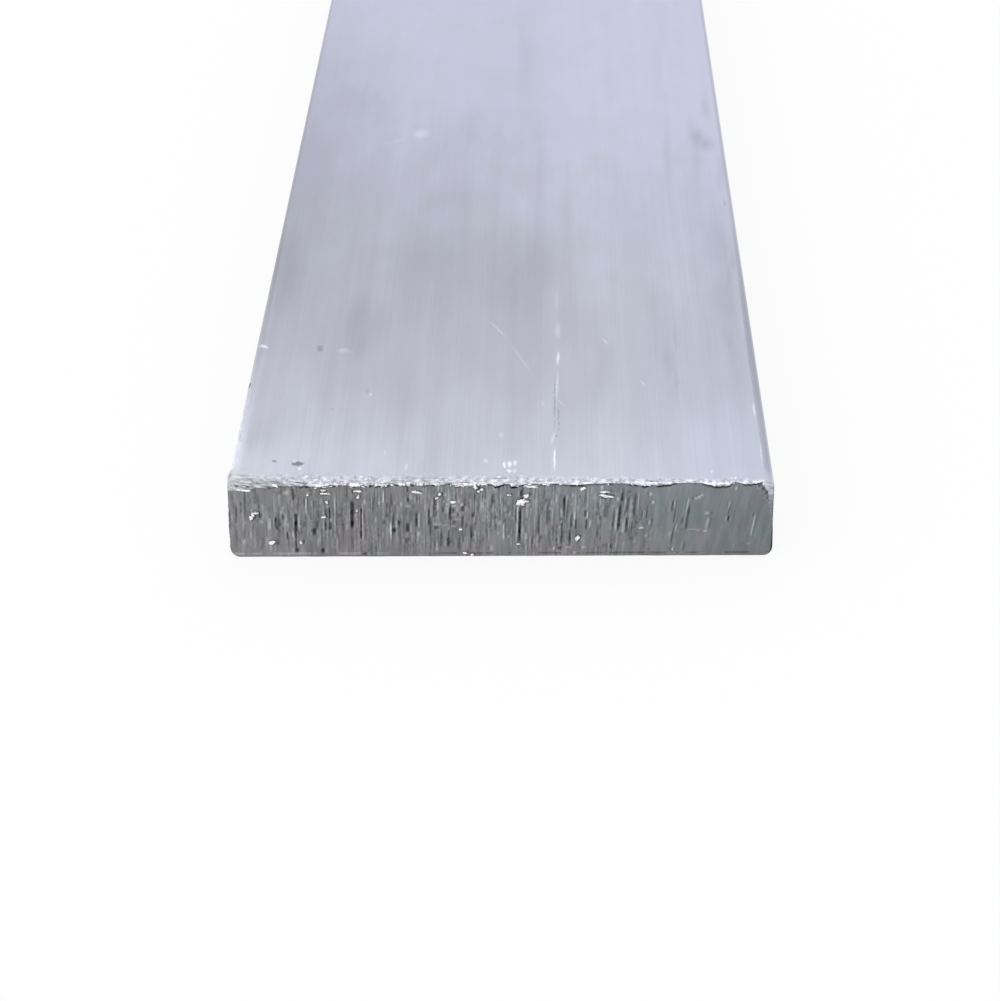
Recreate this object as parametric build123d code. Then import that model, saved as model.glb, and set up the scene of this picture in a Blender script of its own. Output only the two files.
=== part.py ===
from build123d import *

import os

# Aluminium flat bar: extruded to a plain rectangular section and sawn to length.
# Everything is in millimetres. The bar lies flat: X runs across its width, Y along its
# length and Z up through its thickness. The origin is under the middle of the bar, on
# the surface that it rests on. The near end, at low Y, had its two upper corners eased
# with a file after sawing.

# The section, as the extrusion die leaves it.
WIDTH = 50.0
THICKNESS = 8.0
CORNER_RADIUS = 0.8

# The length, from one saw cut to the other.
LENGTH = 500.0

# The file takes each corner off along one plane. These are the distances from the sharp
# corner at which that plane meets the end's top edge (across the width), the end's
# upright edge (down the thickness) and the bar's long edge (back along the length).
LEFT_EASE_ACROSS = 6.5
LEFT_EASE_DOWN = 0.75
LEFT_EASE_BACK = 0.9
RIGHT_EASE_ACROSS = 1.5
RIGHT_EASE_DOWN = 2.5
RIGHT_EASE_BACK = 0.8

# Which way each long edge lies from the middle of the bar.
LEFT = -1
RIGHT = 1


def extruded_bar():
    """The bar as sawn: the rounded section, swept along the length."""
    section = Plane.XZ * RectangleRounded(WIDTH, THICKNESS, CORNER_RADIUS)
    bar = extrude(section, amount=LENGTH / 2, both=True)
    return Pos(0, 0, THICKNESS / 2) * bar


def filed_plane(side, across, down, back):
    """The plane that the file left at a near upper corner, facing out of the metal."""
    corner = Vector(side * WIDTH / 2, -LENGTH / 2, THICKNESS)
    facing = Vector(side / across, -1 / back, 1 / down)
    return Plane(origin=corner - Vector(side * across, 0, 0), z_dir=facing)


def filed_bar():
    """The sawn bar with both near upper corners eased."""
    bar = extruded_bar()
    left = filed_plane(LEFT, LEFT_EASE_ACROSS, LEFT_EASE_DOWN, LEFT_EASE_BACK)
    right = filed_plane(RIGHT, RIGHT_EASE_ACROSS, RIGHT_EASE_DOWN, RIGHT_EASE_BACK)
    for plane in (left, right):
        bar = split(bar, bisect_by=plane, keep=Keep.BOTTOM)
    return bar


os.makedirs("parts", exist_ok=True)
export_step(filed_bar(), "parts/flat_bar.step")
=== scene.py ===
import math
import random
from collections import namedtuple

import bmesh
import bpy
import numpy as np
from mathutils import Matrix, Vector, noise


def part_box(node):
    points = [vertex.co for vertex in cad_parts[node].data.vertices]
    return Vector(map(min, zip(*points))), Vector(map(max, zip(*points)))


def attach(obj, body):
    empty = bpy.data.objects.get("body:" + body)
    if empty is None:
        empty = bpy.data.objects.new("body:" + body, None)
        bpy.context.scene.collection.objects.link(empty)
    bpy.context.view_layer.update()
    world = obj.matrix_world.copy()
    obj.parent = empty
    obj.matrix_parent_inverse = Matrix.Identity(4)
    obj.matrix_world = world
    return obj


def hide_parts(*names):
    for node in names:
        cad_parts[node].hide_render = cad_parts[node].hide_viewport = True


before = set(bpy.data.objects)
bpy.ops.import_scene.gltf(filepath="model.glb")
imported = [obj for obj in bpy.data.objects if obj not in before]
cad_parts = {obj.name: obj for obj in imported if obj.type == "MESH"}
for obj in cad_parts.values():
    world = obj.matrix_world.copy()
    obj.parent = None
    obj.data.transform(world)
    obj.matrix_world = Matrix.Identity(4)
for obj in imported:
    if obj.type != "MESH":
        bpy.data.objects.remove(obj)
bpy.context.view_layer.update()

# The bar is modelled in millimetres: X across the width from its middle, Y along the
# length from the near sawn end, and Z up from the underside. At the end of the making
# it is moved to its place in the frame, in metres.
MM = 0.001
LOW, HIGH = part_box("flat_bar")
WIDTH, LENGTH, THICKNESS = (HIGH - LOW) / MM
TO_FRAME = Matrix.Translation((0, LOW.y, LOW.z)) @ Matrix.Scale(MM, 4)

# The radius of the section's corners.
CORNER_RADIUS = 0.8
# Planes filed on the near end's upper corners: the side, and the distances from the sharp
# corner at which the plane meets the top edge, the upright edge and the long edge.
EASES = (
    (-1, 6.5, 0.75, 0.9),
    (-1, 0.35, 7.0, 3.0),
    (1, 1.35, 2.0, 0.8),
    (1, 0.8, 6.5, 0.5),
)

# The mesh: the columns over the width of the near end. Further along than THINNED_FROM the
# surface is plain, and only one column and one row of every few are kept.
NEAR_COLUMNS = 640
KEPT_COLUMN = 4
KEPT_ROW = 4
THINNED_FROM = 2.5
# A station is a loop of edges round the body, numbered from the near end. The saw tore the
# top face at the first few, and the far end's points carry a number past all others.
TORN_STATIONS = 13
FAR_STATION = 99
# Points closer than this are welded into one.
WELD_DISTANCE = 0.0005
# The bar's two finishes, by their place in its list of materials.
MILLED = 0
SAWN = 1
# The tone of the faces that have no haze and no painted reflection.
PLAIN_TONE = 0.97

# No mark of the file reaches further along than this.
FILED_LENGTH = 3
# How far the strokes of the file climb for each millimetre along and across.
STROKE_ALONG = 0.65
STROKE_ACROSS = 0.25
# The band beside each long side that the burr pushes out, and the part pushed out in full.
FLARED_BAND = 1.6
FLARED_EDGE = 0.8

# Random marks on a sawn end: how many, the longest and the widest. The seeds of the ends.
FINE_MARKS = ((480, 2.6, 0.09), (340, 0.5, 0.15))
NEAR_SEED = 5
FAR_SEED = 17


def hundredths(*rows):
    """Rows of numbers that are written in hundredths, in full."""
    return [tuple(number / 100 for number in row) for row in rows]


# The two ends are cut by a saw, whose teeth drag the metal upright. Every row gives the
# middle of a mark across and up the near end, its length, its width and its strength. The
# hundredths are of a millimetre, of full strength, or of a radian in a lean. A groove is
# painted darker, as stain and painted shade, and a ridge lighter, as a painted highlight.
GROOVES = hundredths(
    (-2410, 500, 180, 9, 45), (-2430, 340, 440, 6, 25), (-2345, 540, 320, 8, 25),
    (-2320, 460, 140, 9, 35), (-2220, 460, 60, 22, 55), (-2260, 440, 40, 12, 65),
    (-2185, 500, 120, 6, 30), (-2160, 300, 250, 6, 30), (-2072, 380, 140, 9, 90),
    (-2062, 325, 50, 12, 75), (-2065, 160, 60, 10, 40), (-2000, 440, 55, 15, 50),
    (-1973, 235, 85, 7, 80), (-1882, 380, 220, 11, 130), (-1895, 200, 280, 7, 80),
    (-1895, 75, 50, 16, 80), (-1890, 690, 140, 13, 70), (-1855, 550, 90, 15, 35),
    (-1830, 170, 50, 12, 50), (-1805, 360, 70, 12, 60), (-1792, 610, 100, 7, 60),
    (-1720, 280, 80, 17, 70), (-1705, 580, 80, 15, 30), (-1650, 70, 50, 14, 75),
    (-1615, 340, 100, 10, 80), (-1605, 500, 150, 6, 50), (-1568, 470, 190, 6, 100),
    (-1570, 340, 90, 15, 80), (-1490, 450, 50, 15, 40), (-1365, 460, 360, 15, 100),
    (-1345, 720, 40, 10, 50), (-1276, 510, 50, 9, 90), (-1280, 420, 300, 6, 100),
    (-1290, 250, 100, 9, 70), (-1250, 440, 180, 8, 40), (-1270, 30, 18, 20, 60),
    (-1130, 160, 150, 5, 30), (-1040, 560, 80, 10, 40), (-1040, 460, 50, 15, 35),
    (-985, 410, 140, 8, 60), (-985, 295, 40, 18, 80), (-935, 375, 50, 12, 90),
    (-865, 180, 70, 15, 50), (-860, 500, 100, 8, 50), (-855, 320, 110, 14, 90),
    (-845, 750, 90, 7, 60), (-842, 630, 50, 10, 75), (-772, 410, 190, 9, 85),
    (-760, 640, 100, 6, 50), (-695, 200, 250, 5, 25), (-660, 440, 220, 8, 80),
    (-612, 480, 100, 6, 50), (-600, 580, 160, 13, 65), (-590, 320, 20, 20, 50),
    (-485, 160, 120, 12, 60), (-480, 250, 100, 6, 50), (-460, 500, 190, 9, 100),
    (-460, 420, 25, 10, 60), (-430, 510, 30, 12, 60), (-425, 380, 30, 12, 50),
    (-405, 660, 90, 6, 50), (-390, 460, 30, 9, 55), (-345, 530, 60, 15, 60),
    (-350, 380, 160, 10, 60), (-350, 220, 150, 7, 40), (-270, 270, 160, 10, 50),
    (-250, 460, 50, 12, 90), (-235, 640, 140, 6, 55), (-190, 750, 40, 12, 70),
    (-100, 350, 80, 8, 40), (-70, 450, 70, 15, 30), (-60, 630, 140, 15, 50), (-40, 320, 80, 8, 35),
    (75, 530, 80, 12, 40), (142, 460, 160, 5, 80), (178, 360, 420, 10, 110), (195, 690, 80, 10, 80),
    (210, 565, 25, 25, 70), (315, 650, 50, 7, 50), (345, 500, 130, 6, 50), (350, 350, 280, 10, 55),
    (430, 450, 300, 10, 45), (540, 85, 40, 15, 55), (587, 545, 260, 9, 110), (568, 280, 300, 6, 70),
    (560, 180, 100, 15, 60), (635, 220, 160, 10, 65), (655, 400, 210, 8, 70),
    (690, 355, 120, 7, 75), (720, 185, 25, 12, 90), (780, 470, 70, 9, 90), (788, 350, 120, 7, 80),
    (960, 687, 10, 30, 90), (960, 642, 10, 45, 80), (975, 510, 190, 20, 45), (1015, 110, 50, 8, 40),
    (1040, 410, 220, 7, 60), (1092, 420, 350, 11, 80), (1115, 650, 110, 11, 65),
    (1155, 335, 180, 9, 85), (1170, 560, 190, 9, 60), (1228, 550, 300, 13, 60),
    (1300, 450, 110, 5, 60), (1340, 480, 150, 5, 60), (1390, 370, 80, 8, 40),
    (1415, 320, 120, 5, 40), (1575, 550, 130, 10, 60), (1597, 440, 160, 5, 60),
    (1575, 200, 200, 8, 40), (1665, 390, 80, 10, 30), (1690, 100, 100, 10, 30),
    (1715, 420, 320, 9, 60), (2095, 500, 120, 4, 50), (2090, 410, 50, 8, 80),
    (2315, 450, 40, 6, 40), (2360, 765, 20, 12, 50), (2395, 735, 30, 12, 50),
    (2430, 690, 30, 12, 50), (2445, 635, 20, 15, 45),
)
RIDGES = hundredths(
    (-2375, 170, 40, 12, 50), (-2310, 250, 70, 10, 50), (-2300, 340, 120, 5, 40),
    (-2270, 300, 100, 5, 30), (-2250, 560, 60, 15, 30), (-2210, 390, 25, 25, 45),
    (-2130, 370, 150, 12, 55), (-2130, 100, 100, 8, 30), (-2095, 100, 80, 6, 40),
    (-2075, 580, 260, 5, 40), (-2030, 630, 150, 8, 30), (-2010, 495, 25, 15, 50),
    (-1970, 360, 30, 20, 40), (-1960, 710, 40, 22, 50), (-1920, 260, 90, 7, 60),
    (-1907, 620, 180, 4, 50), (-1910, 400, 200, 5, 40), (-1880, 130, 70, 4, 40),
    (-1862, 380, 180, 12, 55), (-1850, 160, 35, 12, 80), (-1785, 280, 100, 6, 30),
    (-1775, 480, 130, 5, 45), (-1780, 570, 190, 7, 100), (-1780, 320, 280, 5, 45),
    (-1760, 690, 35, 15, 70), (-1745, 220, 140, 5, 50), (-1690, 320, 60, 4, 35),
    (-1675, 550, 100, 4, 35), (-1635, 620, 60, 8, 40), (-1585, 360, 160, 5, 60),
    (-1560, 410, 30, 15, 40), (-1545, 350, 140, 4, 50), (-1530, 280, 150, 10, 40),
    (-1520, 140, 100, 12, 50), (-1520, 490, 440, 7, 70), (-1490, 300, 100, 10, 30),
    (-1410, 340, 70, 15, 40), (-1350, 370, 120, 5, 40), (-1325, 440, 80, 12, 40),
    (-1315, 515, 25, 10, 90), (-1285, 160, 160, 5, 40), (-1270, 380, 500, 5, 100),
    (-1240, 620, 50, 10, 30), (-1150, 410, 60, 8, 60), (-1120, 150, 150, 6, 35),
    (-1090, 240, 80, 5, 50), (-1075, 500, 240, 8, 30), (-1067, 660, 150, 6, 80),
    (-1012, 290, 230, 6, 120), (-1000, 500, 100, 8, 40), (-960, 360, 80, 6, 90),
    (-840, 560, 30, 20, 50), (-820, 660, 60, 12, 55), (-775, 630, 90, 6, 40),
    (-770, 190, 90, 4, 40), (-760, 250, 50, 12, 60), (-750, 400, 180, 9, 55),
    (-635, 500, 160, 10, 55), (-620, 600, 60, 5, 60), (-600, 360, 30, 15, 50),
    (-590, 110, 100, 8, 40), (-575, 580, 120, 10, 40), (-562, 750, 50, 10, 55),
    (-560, 360, 35, 20, 45), (-530, 730, 30, 8, 50), (-505, 685, 40, 10, 60),
    (-560, 260, 140, 6, 40), (-520, 345, 12, 30, 45), (-460, 300, 120, 5, 40),
    (-450, 335, 12, 30, 40), (-430, 555, 20, 25, 50), (-430, 460, 10, 30, 45),
    (-400, 410, 10, 28, 45), (-395, 520, 50, 8, 50), (-395, 240, 80, 6, 35),
    (-380, 610, 20, 10, 60), (-370, 305, 30, 20, 70), (-350, 710, 80, 4, 60),
    (-350, 570, 35, 12, 75), (-240, 280, 180, 5, 50), (-240, 410, 100, 6, 60),
    (-225, 530, 220, 5, 60), (-170, 570, 120, 12, 40), (-115, 420, 120, 4, 50),
    (-110, 600, 150, 6, 50), (-110, 250, 160, 5, 40), (-90, 90, 50, 12, 40), (-40, 750, 30, 15, 40),
    (-30, 580, 100, 6, 40), (-10, 370, 30, 15, 40), (0, 640, 120, 4, 50), (27, 270, 200, 7, 80),
    (45, 520, 70, 10, 60), (50, 460, 50, 8, 50), (75, 220, 25, 8, 60), (158, 470, 190, 5, 100),
    (150, 280, 220, 5, 90), (205, 370, 300, 4, 40), (230, 220, 60, 5, 60), (285, 500, 100, 5, 50),
    (315, 350, 250, 5, 50), (330, 610, 80, 4, 50), (410, 430, 120, 5, 40), (460, 530, 50, 12, 50),
    (515, 630, 80, 8, 40), (520, 60, 40, 6, 50), (550, 320, 30, 12, 50), (490, 85, 20, 8, 70),
    (560, 485, 130, 7, 90), (620, 95, 15, 25, 60), (610, 590, 180, 5, 50), (680, 410, 190, 6, 75),
    (680, 35, 20, 15, 60), (760, 95, 20, 15, 50), (800, 450, 80, 6, 100), (800, 620, 250, 5, 60),
    (820, 360, 90, 6, 90), (835, 720, 80, 4, 50), (870, 600, 120, 4, 40), (900, 370, 80, 6, 40),
    (915, 600, 140, 4, 50), (930, 750, 50, 12, 60), (990, 480, 120, 4, 50), (1030, 520, 100, 5, 50),
    (1065, 395, 290, 6, 100), (1080, 630, 40, 12, 70), (1120, 300, 200, 6, 60),
    (1140, 570, 160, 6, 60), (1180, 360, 120, 5, 60), (1195, 520, 260, 5, 70),
    (1210, 500, 150, 6, 40), (1265, 600, 200, 5, 60), (1315, 460, 100, 4, 50),
    (1290, 315, 15, 30, 70), (1340, 225, 35, 12, 60), (1370, 370, 50, 10, 60),
    (1375, 680, 35, 12, 60), (1395, 590, 35, 12, 60), (1415, 320, 100, 4, 60),
    (1560, 240, 50, 12, 40), (1585, 75, 40, 13, 80), (1595, 570, 70, 6, 60),
    (1615, 310, 100, 7, 50), (1635, 270, 40, 5, 40), (1712, 560, 150, 6, 70),
    (1760, 290, 12, 50, 35), (1790, 635, 20, 12, 90), (1815, 650, 20, 12, 90),
    (1840, 665, 20, 12, 80), (1840, 280, 10, 40, 40), (1880, 275, 15, 16, 70),
    (1895, 360, 130, 13, 50), (1895, 470, 25, 18, 80), (2070, 410, 50, 6, 50),
    (2090, 560, 90, 7, 50), (2110, 760, 40, 5, 60), (2150, 740, 40, 10, 50), (2150, 110, 40, 4, 40),
    (2280, 130, 20, 20, 30), (2320, 340, 260, 7, 65), (2340, 750, 40, 6, 50),
)

# The burr along the top of the near end: how far it hangs below the top at each place.
BURR = hundredths(
    (-2260, 30), (-2150, 45), (-2090, 45), (-2050, 5), (-2020, 2), (-1990, 22), (-1900, 22),
    (-1790, 25), (-1720, 32), (-1670, 40), (-1590, 30), (-1520, 20), (-1450, 12), (-1380, 30),
    (-1330, 42), (-1260, 20), (-1210, 34), (-1160, 16), (-1060, 30), (-1000, 10), (-920, 12),
    (-860, 26), (-800, 10), (-680, 16), (-540, 10), (-470, 2), (-410, 28), (-320, 30), (-240, 34),
    (-200, 5), (-70, 10), (-40, 40), (0, 26), (50, 4), (90, 10), (105, 44), (150, 36), (210, 18),
    (290, 8), (400, 12), (520, 6), (620, 24), (750, 22), (810, 8), (1000, 6), (1120, 4), (1200, 14),
    (1320, 40), (1370, 28), (1500, 30), (1590, 6), (1760, 2), (1840, 8), (1900, 28), (1960, 46),
    (2030, 44), (2090, 36), (2120, 2), (2170, 2), (2210, 18), (2320, 18), (2370, 2),
)

# How far the top edge is torn to a white lip, at places across, the white partly a painted
# highlight on its crest: filed away at the left.
LIP_PLACES = (-25, -21, -18, -8)
LIP_AMOUNTS = (0.0, 0.25, 0.8, 1.0)

# Chips torn from the top face beside the lip: the middle across and along, and the size.
CHIPS = hundredths(
    (-2440, 170, 35, 25), (-2300, 150, 50, 20), (-1880, 90, 30, 25), (-1840, 140, 35, 20),
    (-1750, 140, 30, 25), (-1700, 90, 40, 20), (-1650, 40, 30, 20), (-1460, 100, 15, 30),
    (-1340, 120, 40, 20), (-1270, 130, 20, 25), (-1240, 70, 30, 25), (-1190, 100, 15, 30),
    (-960, 40, 50, 15), (-320, 110, 15, 50), (0, 135, 35, 20), (190, 135, 40, 15),
    (620, 140, 20, 20), (800, 100, 15, 25), (860, 85, 25, 20), (1120, 85, 35, 20),
    (1460, 85, 25, 15), (2130, 80, 30, 20), (2260, 80, 20, 15),
)

# Where the burr stands off the sawn face, with a painted shadow under it: from and to across,
# and how dark the painted shadow is.
CREVICE_SHADOWS = hundredths(
    (-1830, -1790, 80), (-1780, -1740, 80), (-1530, -1490, 70), (-1370, -1310, 50),
    (-1290, -1240, 40), (-1190, -1160, 90), (-1140, -1080, 60), (-1040, -1010, 100),
    (-990, -920, 60), (-810, -780, 70), (-730, -650, 50), (-620, -590, 70), (-460, -440, 80),
    (-410, -360, 90), (-150, -50, 50), (-50, 50, 120), (100, 160, 120), (160, 210, 50),
    (240, 300, 80), (370, 420, 80), (490, 620, 50), (640, 760, 90), (780, 970, 45), (990, 1030, 90),
    (1180, 1260, 70), (1290, 1380, 100), (1430, 1610, 95), (1840, 1950, 60), (1950, 2120, 75),
    (2210, 2410, 65),
)

# Flakes of swarf that cling to the near end: the middle, the size and the lean. How deep
# a flake is, and how far its middle stands off the sawn face.
FLAKE_DEPTH = 0.26
FLAKE_STANDS_OFF = 0.06
Flake = namedtuple("Flake", "across up width height lean")
FLAKE_ROWS = hundredths(
    (-2335, 742, 150, 17, -6), (-2295, 440, 34, 42, 20), (-2274, 474, 26, 50, 10),
    (-2250, 493, 62, 22, 0), (-2118, 164, 66, 36, 10), (-2050, 793, 62, 26, -30),
    (-1850, 162, 26, 30, 0), (-1760, 690, 26, 22, 0), (-1615, 740, 46, 24, 0),
    (-1600, 703, 100, 20, 0), (-1585, 608, 24, 34, 10), (-1625, 446, 48, 18, 20),
    (-1300, 731, 76, 17, 0), (-1300, 666, 28, 38, -30), (-1315, 515, 20, 20, 0),
    (-762, 718, 92, 24, -10), (-550, 692, 32, 26, 50), (-575, 652, 42, 14, 30),
    (-428, 605, 54, 24, 0), (-370, 305, 34, 20, 10), (-222, 766, 32, 50, 50),
    (-195, 722, 24, 20, 0), (-165, 742, 34, 24, 20), (82, 682, 46, 14, 0), (192, 603, 86, 62, 10),
    (242, 672, 62, 34, 60), (242, 612, 50, 22, 0), (288, 772, 136, 22, -7), (162, 142, 40, 14, 0),
    (708, 200, 56, 34, 90), (752, 746, 58, 34, 70), (960, 710, 96, 16, 0), (972, 664, 136, 30, -16),
    (1295, 315, 46, 7, 0), (1585, 75, 24, 30, 0), (-335, 42, 46, 16, -10), (-270, 22, 32, 24, 30),
)
FLAKES = [Flake(*row) for row in FLAKE_ROWS]


def smooth_step(value, low, high):
    """0 below low, 1 above high, and a smooth rise between them."""
    share = np.clip((value - low) / (high - low), 0, 1)
    return share * share * (3 - 2 * share)


def smooth_fall(value, low, high):
    """1 below low, 0 above high, and a smooth fall between them."""
    return 1 - smooth_step(value, low, high)


def wander(places, size, seed):
    """Smooth noise from about -1 to 1 along a line, with waves of the given size."""
    return np.array([noise.noise(Vector((place / size, seed * 7.3, seed))) for place in places])


# The sawn ends


def row_heights():
    """Heights of the grid's rows on a sawn end, close together under the burr."""
    under_burr = np.array([0, 0.06, 0.12, 0.18, 0.24, 0.31, 0.38, 0.46, 0.54, 0.63])
    arc = np.linspace(0, CORNER_RADIUS, 8)
    middle = np.linspace(CORNER_RADIUS, THICKNESS - under_burr[-1], 54)[1:-1]
    return np.array([*arc, *middle, *(THICKNESS - under_burr[::-1])])


def rounded(point):
    """Where a point of the sharp section lies once the section's corners are rounded."""
    over = abs(point.x) - (WIDTH / 2 - CORNER_RADIUS)
    past = abs(point.z - THICKNESS / 2) - (THICKNESS / 2 - CORNER_RADIUS)
    if over <= 0 or past <= 0:
        return point
    u, v = over / CORNER_RADIUS, past / CORNER_RADIUS
    inwards_x = CORNER_RADIUS * (u - u * math.sqrt(1 - v * v / 2))
    inwards_z = CORNER_RADIUS * (v - v * math.sqrt(1 - u * u / 2))
    x = point.x - math.copysign(inwards_x, point.x)
    z = point.z - math.copysign(inwards_z, point.z - THICKNESS / 2)
    return Vector((x, point.y, z))


def lean_of(across):
    """How far the blade's arc leans its marks to the right, for each millimetre up."""
    return 0.04 + 0.10 * float(smooth_step(across, 4, 24))


class SawnFace:
    """Relief of a sawn end on a grid of columns and rows, with stain and painted shade in the
    grooves and painted highlights on the ridges.
    """

    def __init__(self, columns, rows, seed):
        self.columns = columns
        self.rows = rows
        self.depth = np.zeros((len(columns), len(rows)))
        self.dark = np.zeros_like(self.depth)
        self.bright = np.zeros_like(self.depth)
        self.random = random.Random(seed)
        self.seed = seed

    def mark(self, across, up, length, width, strength, is_ridge):
        """A groove torn by one tooth, or a ridge that it left standing, with its rim: a groove
        painted dark as stain and painted shade, a ridge light as a painted highlight, and the rim
        the other way.
        """
        lean = lean_of(across)
        reach = 5 * width + lean * length + 0.15
        near = slice(*np.searchsorted(self.columns, (across - reach, across + reach)))
        path = across + lean * (self.rows - up) + 0.04 * wander(self.rows, 1.1, across)
        off = (self.columns[near, None] - path) / (1.25 * width)
        half = length / 2
        ends = smooth_fall(np.abs(self.rows - up), half * 0.5, half * 1.05 + 0.1)
        ends *= 0.8 + 0.35 * wander(self.rows, 0.5, across + 50)
        body = np.exp(-np.abs(off) ** 3) * ends
        side = -1 if self.random.random() < 0.6 else 1
        rim = np.exp(-((off - side * 1.6) ** 2) * 1.8) * ends
        relief = min(0.09, 0.8 * width) * strength
        shading_and_stains = [self.bright, self.dark] if is_ridge else [self.dark, self.bright]
        self.depth[near] += (-0.6 if is_ridge else 1) * relief * (body - 0.35 * rim)
        shading_and_stains[0][near] = np.maximum(shading_and_stains[0][near], strength * body)
        shading_and_stains[1][near] = np.maximum(shading_and_stains[1][near], 0.45 * strength * rim)

    def scatter(self, count, longest, thickest):
        """Finer marks at random, which thin out at the foot and towards the right."""
        for _ in range(count):
            across = self.random.uniform(-WIDTH / 2, WIDTH / 2)
            up = self.random.triangular(0.5, 7.6, 4.4)
            calm = 1 - 0.85 * float(smooth_step(across, 11, 16))
            patch = 0.5 + noise.noise(Vector((across / 2.2, up / 1.8, self.seed)))
            strength = self.random.uniform(0.1, 0.5) * calm * min(1, max(0.2, 2 * patch))
            length = self.random.uniform(0.15, 1) ** 1.5 * longest
            width = self.random.uniform(0.4, 1) * thickest
            self.mark(across, up, length, width, strength, self.random.random() < 0.5)

    def shade_round(self, flake):
        """A thin painted shadow round a flake that clings to the face, darkest below it and to its
        right.
        """
        near = slice(*np.searchsorted(self.columns, (flake.across - 1, flake.across + 1)))
        x = self.columns[near, None] - flake.across
        z = self.rows - flake.up
        u = (x * math.cos(flake.lean) + z * math.sin(flake.lean)) / (flake.width / 2)
        v = (z * math.cos(flake.lean) - x * math.sin(flake.lean)) / (flake.height / 2)
        radius = np.maximum(np.hypot(u, v), 0.05)
        from_rim = (1 - 1 / radius) * np.hypot(x, z)
        gap = np.exp(-((from_rim - 0.06) / 0.08) ** 2)
        gap *= 0.32 + 0.12 * u / radius - 0.38 * v / radius
        self.dark[near] = np.maximum(self.dark[near], gap)

    def ripple(self):
        """The broad unevenness of the cut."""
        for number, up in enumerate(self.rows):
            self.depth[:, number] += 0.03 * wander(self.columns - 0.1 * up, 1.7, self.seed)


def sawn_face(columns, rows, seed, grooves=(), ridges=(), flakes=()):
    """A sawn end: the broad ripple, the fine marks and then the marks that stand out."""
    face = SawnFace(columns, rows, seed)
    face.ripple()
    for marks in FINE_MARKS:
        face.scatter(*marks)
    for groove in grooves:
        face.mark(*groove, is_ridge=False)
    for ridge in ridges:
        face.mark(*ridge, is_ridge=True)
    for flake in flakes:
        face.shade_round(flake)
    return face


# The bar

# Soft patches on the top face, partly haze and partly painted reflection: the middle across
# and along, the half-sizes, the turn in degrees, and the strength, which is below 0 where a
# patch is lighter.
SMUDGES = (
    (-26, 78, 17, 56, 0, 0.07), (-6, 3, 5, 10, 0, 0.03), (-22, 11.5, 3, 6, 0, 0.03),
    (18, 8, 4.5, 20, 0, -0.018), (18, 41, 4.5, 14, 0, -0.028), (23, 33, 3, 12, 0, 0.026),
    (2, 55, 5, 20, 0, -0.02), (-24, 42, 3.5, 16, 0, 0.055), (-8, 44, 8, 14, 0, 0.032),
    (1, 40, 6, 14, 0, 0.034), (-15.6, 31, 1.4, 8, 0, 0.045), (-13.8, 27.5, 2.4, 6, 0, 0.045),
    (-19.2, 87, 3.5, 8, 0, 0.035), (-6.5, 60, 4.5, 8, 0, 0.03), (-6.5, 74, 5, 9, 0, 0.035),
    (2, 102, 2.2, 20, 0, 0.03), (18.1, 70, 0.7, 16, 0, 0.035), (18.3, 98, 0.9, 26, 0, 0.022),
    (22.3, 74.8, 4.4, 1.4, -70, 0.12), (21.5, 68, 1.2, 5, 0, 0.035), (22.8, 48, 2.6, 11, 0, 0.04),
    (23.3, 40, 4.2, 0.6, 80, 0.06), (23.9, 86, 0.9, 6, 0, 0.065), (24, 66, 0.7, 5, 0, 0.03),
    (22.2, 24, 0.6, 8, 0, 0.04), (15.1, 33, 1.1, 7, 0, 0.026), (15.4, 27, 0.8, 5, 0, 0.022),
    (16.5, 23, 0.7, 5, 0, 0.045), (16.9, 18.8, 0.4, 3, 0, 0.04), (17.6, 28.5, 0.4, 4.5, 0, 0.045),
    (8, 28, 4, 14, 0, 0.018), (-23.2, 9, 0.9, 3, 0, 0.025), (4.2, 13, 1.3, 11, 0, -0.02),
    (5.8, 22, 1.1, 9, 0, -0.022), (9.2, 20, 1.5, 10, 0, 0.034),
)


def body_tone(across, along):
    """How light the bar's long faces are: paler near the sawn end and far from it, and darker
    between on the left, partly hazing and partly painted reflection.
    """
    waver = noise.noise(Vector((across / 7, along / 14, 3)))
    ripple = noise.noise(Vector((across / 0.9, along / 4, 4)))
    across += 1.5 * waver + 0.3 * ripple
    along += 6 * waver + 1.2 * ripple
    tone = 0.96 + 0.065 * smooth_fall(along, -2, 20) + 0.05 * smooth_step(along, 34, 92)
    haze_and_dim_reflection = 0.004 + 0.041 * smooth_step(along, 2, 38)
    haze_and_dim_reflection *= 1 - 0.65 * smooth_step(along, 50, 120)
    tone -= haze_and_dim_reflection * smooth_fall(across, 2, 9)
    tone += 0.025 * smooth_fall(across, -21, -17) * smooth_fall(along, 24, 25.6)
    for middle_across, middle_along, half_across, half_along, turn, strength in SMUDGES:
        offset = Vector((across - middle_across, along - middle_along))
        offset.rotate(Matrix.Rotation(math.radians(-turn), 2))
        radius = math.hypot(offset.x / half_across, offset.y / half_along)
        if radius < 1:
            tone -= strength * smooth_fall(radius, 0, 1)
    return tone


def end_grid(bm, columns, rows, along, layers):
    """A flat grid over one sawn end, with rounded corners."""
    last_column, last_row = len(columns) - 1, len(rows) - 1
    made = bmesh.ops.create_grid(
        bm, x_segments=last_column, y_segments=last_row, size=0.5
    )
    for vert in made["verts"]:
        column = round((vert.co.x + 0.5) * last_column)
        row = round((vert.co.y + 0.5) * last_row)
        vert[layers["column"]] = column
        vert[layers["row"]] = row
        vert.co = rounded(Vector((columns[column], along, rows[row])))
    return made["verts"]


def kept_row(row, rows):
    """The row that stands for this one along the plain body."""
    first = int(np.searchsorted(rows, CORNER_RADIUS))
    last = int(np.searchsorted(rows, THICKNESS - CORNER_RADIUS))
    if not first < row < last:
        return row
    return min(last, first + round((row - first) / KEPT_ROW) * KEPT_ROW)


def kept_column(column):
    """The column that stands for this one along the plain body."""
    across = -WIDTH / 2 + column * WIDTH / NEAR_COLUMNS
    if abs(across) > WIDTH / 2 - CORNER_RADIUS - 0.2:
        return column
    return round(column / KEPT_COLUMN) * KEPT_COLUMN


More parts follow.
